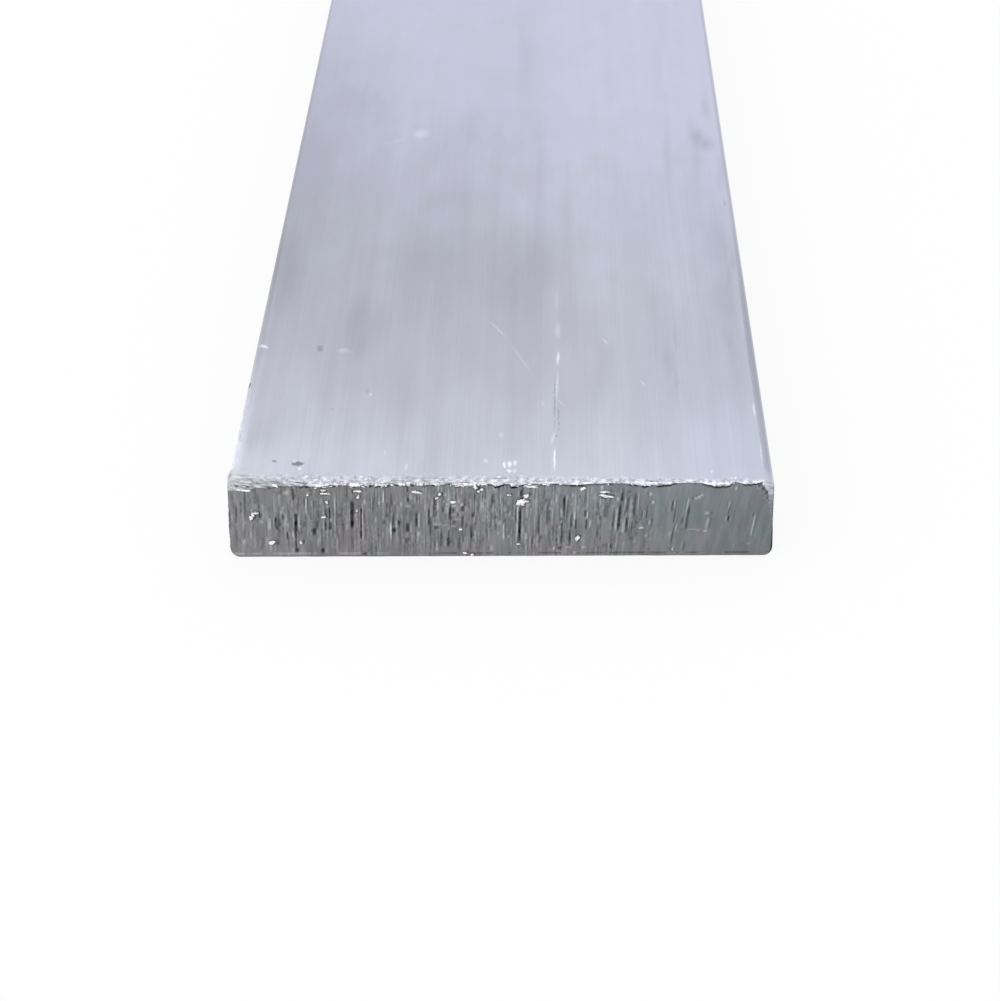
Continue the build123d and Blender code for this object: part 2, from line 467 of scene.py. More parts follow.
def thin_ring(bm, ring, rows, layers):
    """Welds columns and rows together on the flats, so that the long faces are fewer."""
    place = {}
    for vert in (vert for edge in ring for vert in edge.verts):
        place[vert[layers["column"]], vert[layers["row"]]] = vert
    target = {}
    for (column, row), vert in place.items():
        stand_in = place[kept_column(column), kept_row(row, rows)]
        if stand_in is not vert:
            target[vert] = stand_in
    bmesh.ops.weld_verts(bm, targetmap=target)


def stations():
    """Distances from the near end at which the body has an edge loop."""
    near = [0.10, 0.22, 0.36, 0.52, 0.72, 0.96, 1.25, 1.6, 2.0, 2.3, 2.6, 3.2, 4.2, 5.2, 6.4]
    middle = np.arange(8, 130, 2.5)
    far = LENGTH - np.array([70, 25, 8, 2, 0])
    return [*near, *middle, *far]


def sweep(bm, rows, layers):
    """Carries the near end's outline along the bar, station by station."""
    ring = [edge for edge in bm.edges if edge.is_boundary]
    before = 0
    for number, along in enumerate(stations(), start=1):
        if before <= THINNED_FROM < along:
            thin_ring(bm, ring, rows, layers)
            ring = [edge for edge in bm.edges if edge.is_boundary]
        made = bmesh.ops.extrude_edge_only(bm, edges=ring)
        verts = [part for part in made["geom"] if isinstance(part, bmesh.types.BMVert)]
        ring = [part for part in made["geom"] if isinstance(part, bmesh.types.BMEdge)]
        for vert in verts:
            vert.co.y += along - before
            vert[layers["station"]] = number
        before = along


def press_relief(verts, face, layers, outwards):
    """Moves a sawn end's points to its relief, and keeps on them its stain, painted shade and
    painted highlights.
    """
    for vert in verts:
        spot = vert[layers["column"]], vert[layers["row"]]
        vert.co.y -= outwards * face.depth[spot]
        vert[layers["dark"]] = face.dark[spot]
        vert[layers["bright"]] = face.bright[spot]


def burr_drop(columns):
    """How far the burr hangs below the top of the near end, at each column."""
    places, drops = zip(*BURR)
    hang = np.interp(columns, places, drops, left=0, right=0)
    ragged = 0.08 * wander(columns, 0.45, 31) + 0.09 * wander(columns, 0.16, 33)
    ragged *= np.interp(columns, (-6, 0, 12, 18), (1.0, 0.5, 0.5, 1.0))
    return 0.9 * hang - 0.09 + ragged


def lip_whiteness(columns):
    """How white the lip is at each column, partly torn metal and partly a painted highlight: in
    shreds at the left, and even at the right.
    """
    amount = np.interp(columns, LIP_PLACES, LIP_AMOUNTS)
    shreds = 0.9 * wander(columns, 0.50, 37) + 0.5 * wander(columns, 0.20, 39)
    places, shares = (-14, -8, -3, 5, 9, 15, 21), (0.70, 0.72, 0.58, 0.55, 0.80, 0.95, 1.45)
    evenness = np.interp(columns, places, shares)
    return amount * np.clip(evenness + shreds, 0, 1)


def lip_notches(columns):
    """Dark nicks between the lip's shreds, at each column."""
    nicked = smooth_step(wander(columns, 0.30, 38), 0.10, 0.35)
    return nicked * np.interp(columns, (-20, -16, -6, 2), (0.2, 0.8, 0.8, 0.3))


def crevice_shadow(columns):
    """How dark the painted shadow under the burr is, at each column."""
    faint, soft = 0.15, 0.08
    depth = np.full(len(columns), faint)
    for start, end, strength in CREVICE_SHADOWS:
        inside = smooth_step(columns, start - soft, start + soft)
        inside *= smooth_fall(columns, end - soft, end + soft)
        depth = np.maximum(depth, strength * inside)
    return depth


def hang_burr(bm, columns, rows, layers):
    """Pulls the top edge of the near end out and down into a ragged lip, white along its crest,
    partly as a painted highlight, and with a painted shadow line under it.
    """
    drop = burr_drop(columns)
    gap = crevice_shadow(columns)
    lip = lip_whiteness(columns)
    notch = lip_notches(columns)
    top = len(rows) - 1
    out_share = {0: 0.85, 1: 0.80, 2: 0.20}
    down_share = {0: 0.15, 1: 0.55, 2: 0.1}
    for vert in bm.verts:
        column, below = vert[layers["column"]], top - vert[layers["row"]]
        if vert[layers["station"]] != 0:
            continue
        if below in out_share:
            vert.co.y -= drop[column] * out_share[below]
            vert.co.z -= drop[column] * down_share[below]
        if below <= 1:
            vert[layers["dark"]] = notch[column]
            vert[layers["bright"]] = 0
            vert[layers["torn"]] = lip[column]
        else:
            # Below the lip: a painted shadow line under the burr.
            past_lip = THICKNESS - rows[top - below] - 0.06 - 1.05 * drop[column]
            line = gap[column] * float(smooth_fall(past_lip, 0.09, 0.26))
            vert[layers["dark"]] = max(vert[layers["dark"]], line)
            vert[layers["bright"]] *= 1 - line


def tear_top_edge(bm, columns, rows, layers):
    """Small waves in the top face where the saw dragged its edge, and how torn and white it is, the
    white partly a painted highlight.
    """
    lip = lip_whiteness(columns)
    notch = lip_notches(columns)
    top = len(rows) - 1
    for vert in bm.verts:
        station = vert[layers["station"]]
        if vert[layers["row"]] != top or not 0 < station <= TORN_STATIONS:
            continue
        across, along = vert.co.x, vert.co.y
        reach = float(np.interp(across, (-25, -12, 2, 13, 25), (2.6, 2.0, 1.6, 1.1, 0.6)))
        column = vert[layers["column"]]
        torn = lip[column] * float(smooth_fall(along, 0.0, 0.4))
        for middle, back, width, depth in CHIPS:
            off = math.hypot((across - middle) / width, (along - back) / depth)
            torn = max(torn, 0.7 * math.exp(-off * off))
        vert[layers["torn"]] = torn
        vert[layers["dark"]] = notch[column] * float(smooth_fall(along, 0.0, 0.25))
        vert[layers["bright"]] = float(smooth_fall(along, 0.3 * reach, reach))
        scuffed = float(smooth_fall(across + 6 * along / reach, -22, -15))
        vert[layers["eased"]] = 0.9 * scuffed
        if abs(across) < WIDTH / 2 - CORNER_RADIUS:
            wave = noise.noise(Vector((across / 0.9, along / 0.3, 41)))
            vert.co.z += 0.05 * math.exp(-along / 0.6) * wave


def ease_corner(bm, side, ease, layers):
    """Files one upper corner of the near end down to a plane."""
    across, down, back = ease
    facing = Vector((side / across, -1 / back, 1 / down)).normalized()
    meets_edge = Vector((side * (WIDTH / 2 - across), 0, THICKNESS))
    for vert in bm.verts:
        chip = noise.noise(Vector((vert.co.x * 3, vert.co.y * 2, vert.co.z * 3)))
        proud = (vert.co - meets_edge).dot(facing)
        cut = proud + 0.04 * chip
        if cut > 0 and vert.co.y < FILED_LENGTH:
            slant = vert.co.z + STROKE_ALONG * vert.co.y + STROKE_ACROSS * vert.co.x
            stroke = noise.noise(Vector((vert.co.x * 0.8, slant * 6, 47)))
            vert.co -= facing * (max(proud, 0) + 0.015 * stroke)
            vert[layers["eased"]] = max(vert[layers["eased"]], min(1, cut / 0.03))
            for name in ("torn", "dark", "bright"):
                vert[layers[name]] = 0


def flare_sides(bm):
    """Pushes the sides out at the near end, where the saw and the file left a burr."""
    for vert in bm.verts:
        across, along, up = vert.co
        if along > FILED_LENGTH or abs(across) < WIDTH / 2 - FLARED_BAND:
            continue
        if across < 0:
            burr = (0.13 + 0.06 * smooth_step(up, 1.5, 3)) * smooth_fall(along, 2.6, 3.2)
        else:
            burr = 0.06 * smooth_fall(up, 2, 4) * smooth_fall(along, 0.8, 1.5)
        burr *= smooth_step(abs(across), WIDTH / 2 - FLARED_BAND, WIDTH / 2 - FLARED_EDGE)
        burr *= 0.3 + 0.7 * smooth_step(up, 0, 1.2)
        rough = noise.noise(Vector((math.copysign(9, across), along * 3, up * 2.2)))
        vert.co.x += math.copysign(float(burr) * (1 + 0.25 * rough), across)


def sort_faces(bm):
    """Puts the faces in the order of their places, so that each run gives the same mesh."""
    in_order = sorted(bm.faces, key=lambda face: tuple(face.calc_center_median()))
    for number, face in enumerate(in_order):
        face.index = number
    bm.faces.sort()


def finish_of(face, rows, layers):
    """Which finish a face has: sawn where it is bare from the saw, and milled elsewhere."""
    at_end = all(vert[layers["station"]] in (0, FAR_STATION) for vert in face.verts)
    on_lip = all(
        vert[layers["row"]] >= len(rows) - 2 and vert[layers["station"]] == 0
        for vert in face.verts
    )
    is_eased = all(vert[layers["eased"]] > 0.6 for vert in face.verts)
    return SAWN if at_end and not on_lip and not is_eased else MILLED


def make_bar():
    """The whole bar as one closed mesh."""
    columns = np.linspace(-WIDTH / 2, WIDTH / 2, NEAR_COLUMNS + 1)
    rows = row_heights()
    far_columns = columns[sorted({kept_column(number) for number in range(len(columns))})]
    far_rows = rows[sorted({kept_row(number, rows) for number in range(len(rows))})]
    bm = bmesh.new()
    layers = {name: bm.verts.layers.int.new(name) for name in ("column", "row", "station")}
    for name in ("dark", "bright", "eased", "torn", "tone"):
        layers[name] = bm.verts.layers.float.new(name)
    near = end_grid(bm, columns, rows, 0, layers)
    sweep(bm, rows, layers)
    for vert in bm.verts:
        on_top = vert.co.z > THICKNESS / 2
        tone = body_tone(vert.co.x, vert.co.y) if on_top else PLAIN_TONE
        vert[layers["tone"]] = float(tone)
    far = end_grid(bm, far_columns, far_rows, LENGTH, layers)
    inside_far = [vert for vert in far if not vert.is_boundary]
    near_face = sawn_face(columns, rows, NEAR_SEED, GROOVES, RIDGES, FLAKES)
    press_relief(near, near_face, layers, -1)
    press_relief(inside_far, sawn_face(far_columns, far_rows, FAR_SEED), layers, 1)
    for vert in far:
        vert[layers["station"]] = FAR_STATION
        vert[layers["tone"]] = 1
    hang_burr(bm, columns, rows, layers)
    tear_top_edge(bm, columns, rows, layers)
    for side, *ease in EASES:
        ease_corner(bm, side, ease, layers)
    flare_sides(bm)
    bmesh.ops.remove_doubles(bm, verts=bm.verts, dist=WELD_DISTANCE)
    bmesh.ops.recalc_face_normals(bm, faces=bm.faces)
    sort_faces(bm)
    for face in bm.faces:
        face.smooth = True
        face.material_index = finish_of(face, rows, layers)
    for layer in ("column", "row", "station"):
        bm.verts.layers.int.remove(bm.verts.layers.int[layer])
    return finished_piece(bm, "flat_bar_metal", [mill_finish(), sawn_finish()])


def add_object(name, data):
    """Puts an object with this data into the scene."""
    added = bpy.data.objects.new(name, data)
    bpy.context.scene.collection.objects.link(added)
    return added


def finished_piece(bm, name, finishes):
    """Puts a mesh into the frame as a piece that rides on the bar's body."""
    bmesh.ops.transform(bm, matrix=TO_FRAME, verts=bm.verts)
    mesh = bpy.data.meshes.new(name)
    bm.to_mesh(mesh)
    bm.free()
    for finish in finishes:
        mesh.materials.append(finish)
    piece = add_object(name, mesh)
    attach(piece, "root")
    return piece


# Crumbs of the burr, placed at random.
CRUMB_COUNT = 45
CRUMB_SEED = 9


def burr_crumbs():
    """Small crumbs of the burr that hang along the lip."""
    chance = random.Random(CRUMB_SEED)
    crumbs = []
    for _ in range(CRUMB_COUNT):
        across = chance.triangular(-18, 23, -14)
        hang = float(burr_drop(np.array([across]))[0])
        up = THICKNESS - max(hang, 0) - chance.uniform(-0.02, 0.10)
        width, height = chance.uniform(0.10, 0.42), chance.uniform(0.06, 0.13)
        crumbs.append(Flake(across, up, width, height, chance.uniform(-0.5, 0.3)))
    return crumbs


def make_swarf():
    """The flakes and crumbs that cling to the near end, as small crumpled solids."""
    bm = bmesh.new()
    for number, flake in enumerate([*FLAKES, *burr_crumbs()]):
        made = bmesh.ops.create_icosphere(bm, subdivisions=3, radius=0.5)
        shape = (
            Matrix.Translation((flake.across, -FLAKE_STANDS_OFF, flake.up))
            @ Matrix.Rotation(-flake.lean, 4, "Y")
            @ Matrix.Diagonal((flake.width, FLAKE_DEPTH, flake.height, 1))
        )
        for vert in made["verts"]:
            squared = vert.co.length / max(abs(axis) for axis in vert.co)
            crumple = noise.noise(vert.co * 3.2 + Vector((0, 0, number * 7)))
            tear = noise.noise(vert.co * 8 + Vector((0, 0, number * 5)))
            vert.co *= squared ** 0.6 * (0.9 + 0.6 * crumple + 0.5 * tear)
        bmesh.ops.transform(bm, matrix=shape, verts=made["verts"])
    for face in bm.faces:
        face.smooth = True
    return finished_piece(bm, "swarf_flakes", [swarf_finish()])


# Finishes

# The power by which a screen's steps turn into light.
SCREEN_GAMMA = 2.2


def paint(red, green, blue):
    """A colour given in the 0 to 255 steps of a screen, as linear values."""
    steps = [channel / 255 for channel in (red, green, blue)]
    linear = [
        step / 12.92 if step <= 0.04045 else ((step + 0.055) / 1.055) ** 2.4
        for step in steps
    ]
    return (*linear, 1)


def arithmetic(operation, reflected=False):
    """An operator between fields, or a field and a number, that adds a Math node."""

    def apply(self, other):
        first, second = (other, self) if reflected else (self, other)
        return self.math(operation, first, second)

    return apply


class Field:
    """What a socket gives over a surface. Arithmetic on it adds Math nodes."""

    __add__ = __radd__ = arithmetic("ADD")
    __mul__ = __rmul__ = arithmetic("MULTIPLY")
    __sub__ = arithmetic("SUBTRACT")
    __rsub__ = arithmetic("SUBTRACT", reflected=True)
    __truediv__ = arithmetic("DIVIDE")
    __pow__ = arithmetic("POWER")

    def __init__(self, recipe, socket):
        self.recipe = recipe
        self.socket = socket

    def __abs__(self):
        return self.math("ABSOLUTE", self)

    def math(self, operation, *values):
        """A Math node on these values."""
        settings = {"operation": operation}
        return self.recipe.node("ShaderNodeMath", settings, dict(enumerate(values)))


class Recipe:
    """The nodes of one finish, or of the world, while they are put together."""

    def __init__(self, tree):
        self.tree = tree

    def node(self, kind, settings=None, inputs=None, output=0):
        """Adds a node, sets it up, fills its sockets, and gives one of its outputs."""
        node = self.tree.nodes.new(kind)
        for name, value in (settings or {}).items():
            if name == "stops":
                self.set_stops(node.color_ramp, value)
            else:
                setattr(node, name, value)
        for name, value in (inputs or {}).items():
            self.fill(self.find(node.inputs, name), value)
        return Field(self, self.find(node.outputs, output))

    def find(self, sockets, name):
        """The socket with this name or number among those in use."""
        in_use = [socket for socket in sockets if socket.enabled]
        if isinstance(name, int):
            return in_use[name]
        return next(socket for socket in in_use if socket.name == name)

    def fill(self, socket, value):
        """Links a field to a socket, or sets the socket to a plain value."""
        if isinstance(value, Field):
            self.tree.links.new(value.socket, socket)
        else:
            socket.default_value = value

    def set_stops(self, ramp, stops):
        """Gives a ramp its stops, each a place and a colour."""
        while len(ramp.elements) < len(stops):
            ramp.elements.new(1)
        for element, (place, colour) in zip(ramp.elements, stops):
            element.position = place
            element.color = colour

    def axes(self, vector):
        """The three parts of a vector."""
        split = self.node("ShaderNodeSeparateXYZ", inputs={0: vector}).socket.node
        return [Field(self, output) for output in split.outputs]

    def place(self):
        """The point on the bar in millimetres, as across, along and up."""
        across, along, up = self.axes(self.node("ShaderNodeTexCoord", output="Object"))
        return across / MM, (along - LOW.y) / MM, (up - LOW.z) / MM

    def vector(self, x, y, z):
        """A vector of three parts."""
        return self.node("ShaderNodeCombineXYZ", inputs={0: x, 1: y, 2: z})

    def noise(self, at, size, detail=2.0, roughness=0.5, seed=0.0):
        """Noise from 0 to 1 with features of the given size in millimetres on each axis."""
        scale = tuple(1 / length for length in size)
        settings = {"vector_type": "POINT"}
        inputs = {"Vector": at, "Scale": scale, "Location": (seed, seed * 0.7, seed * 0.3)}
        moved = self.node("ShaderNodeMapping", settings, inputs)
        return self.node(
            "ShaderNodeTexNoise",
            {"noise_dimensions": "3D"},
            {"Vector": moved, "Scale": 1.0, "Detail": detail, "Roughness": roughness},
            "Fac",
        )

    def rise(self, value, low, high, start=0.0, end=1.0):
        """The start value below low, the end value above high, and a smooth way between."""
        inputs = {"Value": value, "From Min": low, "From Max": high}
        inputs.update({"To Min": start, "To Max": end})
        settings = {"interpolation_type": "SMOOTHSTEP"}
        return self.node("ShaderNodeMapRange", settings, inputs)

    def ramp(self, value, stops):
        """A curve of colours through the stops, which give screen steps at places."""
        painted = [(place, paint(*steps)) for place, steps in stops.items()]
        return self.node("ShaderNodeValToRGB", {"stops": painted}, {"Fac": value})

    def mix(self, share, first, second):
        """The first colour where share is 0 and the second where it is 1."""
        settings = {"data_type": "RGBA", "clamp_factor": True}
        inputs = {"Factor": share, "A": first, "B": second}
        return self.node("ShaderNodeMix", settings, inputs)

    def shade(self, colour, tone):
        """A colour with its lightness, as it is seen, multiplied by a tone."""
        amount = tone ** SCREEN_GAMMA
        grey = self.vector(amount, amount, amount)
        settings = {"operation": "MULTIPLY"}
        return self.node("ShaderNodeVectorMath", settings, {0: colour, 1: grey})

    def kept(self, name):
        """A value that the mesh keeps at each of its points."""
        return self.node("ShaderNodeAttribute", {"attribute_name": name}, output="Fac")

    def dress(self, shader, colour, roughness, relief, depth):
        """Gives a shader its colour, roughness, and relief of this depth in millimetres."""
        self.fill(shader.inputs["Base Color"], colour)
        self.fill(shader.inputs["Roughness"], roughness)
        inputs = {"Height": relief, "Distance": depth * MM}
        self.fill(shader.inputs["Normal"], self.node("ShaderNodeBump", inputs=inputs))

    def spot(self, at, place, size, strength, firmness, turn=0.0):
        """An oval spot: its strength in the middle, and 0 from its rim outwards."""
        inputs = {
            "Vector": at,
            "Location": (*place, 0),
            "Rotation": (0, 0, turn),
            "Scale": (*size, 1),
        }
        unit = self.node("ShaderNodeMapping", {"vector_type": "TEXTURE"}, inputs)
        settings = {"operation": "LENGTH"}
        radius = self.node("ShaderNodeVectorMath", settings, {0: unit}, "Value")
        return self.rise(radius, firmness, 1, strength, 0.0)

    def spots(self, at, spots, firmness):
        """The sum of several spots."""
        amount = 0
        for across, along, half_across, half_along, strength in spots:
            place, size = (across, along), (half_across, half_along)
            amount = self.spot(at, place, size, strength, firmness) + amount
        return amount

    def scratches(self, at, scratches):
        """The sum of several straight scratches with tapered ends."""
        amount = 0
        for *ends, width, strength in scratches:
            start, end = Vector(ends[:2]), Vector(ends[2:])
            run = end - start
            middle = (start + end) / 2
            size = run.length / 2, width / 2
            turn = math.atan2(run.y, run.x)
            scratch = self.spot(at, middle, size, strength, SCRATCH_FIRMNESS, turn)
            amount = scratch + amount
        return amount


def new_finish(name):
    """A metal with only its Principled shader, and the recipe to build it with."""
    material = bpy.data.materials.new(name)
    material.use_nodes = True
    recipe = Recipe(material.node_tree)
    shader = material.node_tree.nodes["Principled BSDF"]
    shader.inputs["Metallic"].default_value = 1.0
    return material, recipe, shader


# How far out from its middle a mark keeps its full strength, as a share of its size.
NICK_FIRMNESS = 0.2
PIT_FIRMNESS = 0.55
SCRATCH_FIRMNESS = 0.3
# Small white nicks in the top face, and five painted glints in a scratch about 1 across and 3
# along: the middle across and along, the half-sizes and the strength.
NICKS_AND_GLINTS = (
    (-10.7, 76.6, 1.2, 1.8, 0.08), (-16.1, 24.7, 0.7, 0.8, 0.09), (-15.4, 24.4, 0.5, 0.5, 0.04),
    (-12.8, 16, 0.22, 0.5, 0.1), (-8.7, 2.9, 0.2, 0.9, 0.1), (-10.8, 5.4, 0.2, 0.7, 0.06),
    (-1.35, 3.9, 0.3, 0.5, 0.1), (0, 8.4, 0.3, 0.7, 0.06), (3.9, 14.2, 0.25, 0.6, 0.05),
    (-18.5, 2.7, 0.25, 0.35, 0.17), (-19.1, 4.1, 0.3, 0.25, 0.08), (0.37, 3.2, 0.17, 0.9, 0.24),
    (0.85, 3.3, 0.28, 0.75, 0.24), (0.84, 2.15, 0.28, 0.42, 0.24), (1.35, 3.45, 0.26, 0.72, 0.2),
    (1.34, 2.1, 0.24, 0.55, 0.14), (19.35, 1.9, 0.3, 0.4, 0.1),
)
# Dark pits, in the same order.
PITS = (
    (-18.72, 3.5, 0.72, 0.42, 0.33), (-20.95, 3.95, 0.27, 0.3, 0.22),
    (-18.45, 25.1, 0.38, 0.75, 0.12), (-24.86, 18.3, 0.2, 0.7, 0.45),
    (-13.15, 16.7, 0.25, 0.6, 0.045), (-16.3, 13.3, 0.25, 0.5, 0.04), (24.05, 57.5, 0.15, 1, 0.06),
)
# Pale scratches in the top face, and a painted glint on the left corner about 25 along: the start,
# the end, the width and the strength.
PALE_SCRATCHES_AND_GLINT = (
    (5.35, 31, 5.45, 26, 0.75, 0.07), (5.42, 24.6, 5.32, 21.1, 0.42, 0.19),
    (5.36, 21.4, 5.2, 14, 0.38, 0.09), (5.05, 9.2, 4.65, 6.4, 0.4, 0.09),
    (5.04, 6.8, 4.97, 1.4, 0.28, 0.26), (5.15, 15.2, 6, 13.5, 0.3, 0.06),
    (5.25, 37, 5.3, 32.5, 0.55, 0.03), (-1.85, 31, 0.4, 26.7, 0.38, 0.08),
    (0.2, 27.1, 3.3, 18.4, 0.36, 0.05), (9.75, 27.2, 10.45, 25.3, 0.5, 0.08),
    (13.25, 18.7, 13.9, 17.1, 0.34, 0.07), (-15.6, 73.4, -11.7, 75.6, 1.4, 0.025),
    (-24.9, 26.1, -23.5, 25.1, 0.7, 0.25), (24.05, 14.6, 23.98, 11, 0.34, 0.14),
    (24.16, 8, 24.04, 2.4, 0.24, 0.1),
)
# Broken dark lines beside the long scratch, in the same order.
DARK_SCRATCHES = (
    (5.04, 21.5, 5, 8, 0.24, 0.13), (5.36, 15.2, 5.42, 8.2, 0.24, 0.15),
    (4.95, 8.1, 5.45, 8.3, 0.5, 0.14), (5.05, 10.9, 5.4, 10.6, 0.45, 0.12),
)
# Streaks that the saw dragged into the top edge, pale where the strength is below 0.
EDGE_SCRATCHES = (
    (-11.2, 1.06, -4.4, 0.94, 0.26, 0.18), (-1.5, 0.9, 1.4, 0.88, 0.26, 0.22),
    (-4, 0.22, -2.5, 0.22, 0.22, 0.35), (-25, 2.4, -24.9, 0.9, 0.9, 0.16),
    (-24.9, 1.9, -22.2, 1.2, 0.26, 0.12), (-24.35, 0.36, -23.85, 0.24, 0.22, 0.45),
    (-23.35, 0.24, -22.8, 0.14, 0.22, 0.45), (-23.5, 0.62, -22.6, 0.34, 0.3, -0.18),
    (-21.4, 0.66, -19.7, 0.26, 0.24, 0.35), (-19.2, 0.52, -17.3, 0.02, 0.24, 0.4),
    (13.4, 0.28, 14.8, 0.28, 0.22, 0.4),
)


def handling_marks(recipe, at, across, along):
    """Scratches, nicks, painted glints and pits in the top face, as pale and dark fields."""
    jitter = recipe.noise(at, (0.35, 0.5, 0.35), 2, 0.6, seed=22) - 0.5
    shaken = recipe.vector(across + 0.25 * jitter, along - 0.5 * jitter, 0.0)
    broken = recipe.noise(at, (0.30, 0.8, 0.30), 2, 0.7, seed=21)
    pale = recipe.spots(shaken, NICKS_AND_GLINTS, NICK_FIRMNESS)
    pale = pale + recipe.scratches(shaken, PALE_SCRATCHES_AND_GLINT)
    dashes = recipe.scratches(shaken, DARK_SCRATCHES) * recipe.rise(broken, 0.42, 0.52)
    return pale, recipe.spots(shaken, PITS, PIT_FIRMNESS) + dashes


def mill_finish():
    """Extruded aluminium as it comes from the die: satin, hazed and lightly scratched."""
    material, recipe, shader = new_finish("mill_finish")
    across, along, up = recipe.place()
    at = recipe.vector(across, along, up)

    # Faint lines along the length, from the die, and a faint mottling.
    broad_line = recipe.noise(at, (1.6, 90, 1.6), seed=11) - 0.5
    fine_line = recipe.noise(at, (0.22, 30, 0.22), 2, 0.6, seed=12) - 0.5
    mottle = recipe.noise(at, (2.8, 7.0, 2.8), 3, 0.6, seed=13) - 0.5
    lines = (0.045 * broad_line + 0.04 * fine_line) * recipe.rise(along, 45, 85, 1.7, 0.7)
    # The kept tone holds the top face's haze together with its painted reflection.
    tone = recipe.kept("tone") + lines + 0.06 * mottle

    # The rounded long corners: darker, and burnished near the end on the left, the lightening there
    # partly a painted highlight.
    on_left = recipe.rise(across, -1, 1, 1.0, 0.0)
    from_side = WIDTH / 2 - abs(across)
    speckle = recipe.noise(at, (0.35, 1.4, 0.35), 2, 0.6, seed=14) - 0.5
    inner = recipe.rise(along, 20, 60, 0.86, 0.50)
    corner = recipe.rise(from_side - inner, -0.12, 0.05, 1.0, 0.0)
    corner_dark = recipe.rise(along, 25, 50, 0.10, 0.05)
    corner_dark = corner_dark - on_left * recipe.rise(along, 28, 45, 0.07, -0.02)
    corner_dark = corner_dark * recipe.rise(along, 0.8, 3.0, 0.2, 1.0)
    scuff = recipe.rise(from_side + 0.8 * speckle, 0.2, 1.3, 1.0, 0.0)
    burnish_and_highlight = on_left * recipe.rise(along, 5, 30, 1.0, 0.0) * scuff
    burnish_and_highlight = burnish_and_highlight * recipe.rise(up, 5.8, 7.2, 0.2, 1.0)
    tone = tone - corner_dark * corner + (0.20 + 0.6 * speckle) * burnish_and_highlight

    on_top = recipe.rise(up, THICKNESS - 1.6, THICKNESS - 0.8)
    pale, pitted = (on_top * marks for marks in handling_marks(recipe, at, across, along))
    lilac = recipe.rise(along + 60 * mottle, 30, 85)
    near_tone = recipe.mix(recipe.rise(across, 8, 20), paint(201, 204, 217), paint(198, 203, 219))
    colour = recipe.mix(lilac, near_tone, paint(202, 204, 226))
    colour = recipe.shade(colour, tone + pale - pitted)

    # The near end's top edge, dragged over by the saw: scuffed, and torn white at its lip, the
    # white partly a painted highlight.
    torn = recipe.kept("torn")
    ragged = recipe.noise(at, (0.45, 0.60, 0.26), 2, 0.6, seed=31)
    cut = 0.60 - 0.30 * torn
    wisp = recipe.rise(ragged, cut, cut + 0.08) * recipe.rise(torn, 0.03, 0.3)
    crumb = recipe.noise(at, (0.90, 0.25, 0.16), 2, 0.6, seed=32)
    crumb_and_glint_stops = {
        0.34: (150, 154, 161),
        0.42: (206, 209, 218),
        0.52: (219, 221, 230),
        0.60: (253, 253, 254),
    }
    streaks = on_top * recipe.scratches(recipe.vector(across, along, 0.0), EDGE_SCRATCHES)
    level = recipe.rise(across, -14, 6, -0.65, -0.615)
    scuffs = recipe.kept("bright") * (1.1 * ragged + 0.25 * crumb + level)
    colour = recipe.mix(0.6 * recipe.kept("bright"), colour, paint(199, 202, 209))
    crumbs = recipe.ramp(crumb + recipe.rise(across, 16, 20, 0.0, 0.035), crumb_and_glint_stops)
    colour = recipe.mix(wisp, colour, crumbs)
    colour = recipe.shade(colour, 1 + scuffs - 0.55 * recipe.kept("dark"))

    # The filed corners, with the strokes of the file slanting down to the right.
    eased = recipe.kept("eased")
    slant = up + STROKE_ALONG * along + STROKE_ACROSS * (across + WIDTH / 2) * on_left
    stroke_at = recipe.vector(across, 0.0, slant)
    stroke = recipe.noise(stroke_at, (0.9, 1, 0.24), 3, 0.65, seed=37)
    stroke_stops = {
        0.34: (104, 108, 112),
        0.44: (163, 167, 173),
        0.54: (190, 193, 200),
        0.66: (228, 230, 234),
    }
    filed = recipe.ramp(stroke, stroke_stops)
    worn_left = recipe.rise(across, -24.6, -23.6, 0.62, 0.0)
    plain = on_left * recipe.rise(along, 0.6, 1.7, 0.0, 0.75) + worn_left
    filed = recipe.mix(plain, filed, paint(210, 213, 217))
    filed = recipe.mix(0.45 - 0.45 * on_left, filed, paint(200, 202, 220))
    # Painted shade on the right facet, darker lower down, and a darker rim at its outer side.
    facet_shade = recipe.rise(up, 5.0, 8.0, 0.44, 0.0) + recipe.rise(from_side, 0.0, 0.12, 0.35, 0.0)
    lit = recipe.rise(along, 0.5, 1.5, 0.88, 0.99) + 0.10 * recipe.kept("bright")
    filed = recipe.shade(filed, lit - (1 - on_left) * (facet_shade - 0.22))
    colour = recipe.shade(recipe.mix(eased, colour, filed), 1 - streaks)

    satin = 0.36 + 0.10 * mottle + 0.10 * fine_line - 0.3 * pale
    relief = 0.6 * fine_line + 0.4 * mottle
    relief = relief + torn * crumb + 2 * eased * stroke
    recipe.dress(shader, colour, satin, relief, 0.004)
    return material


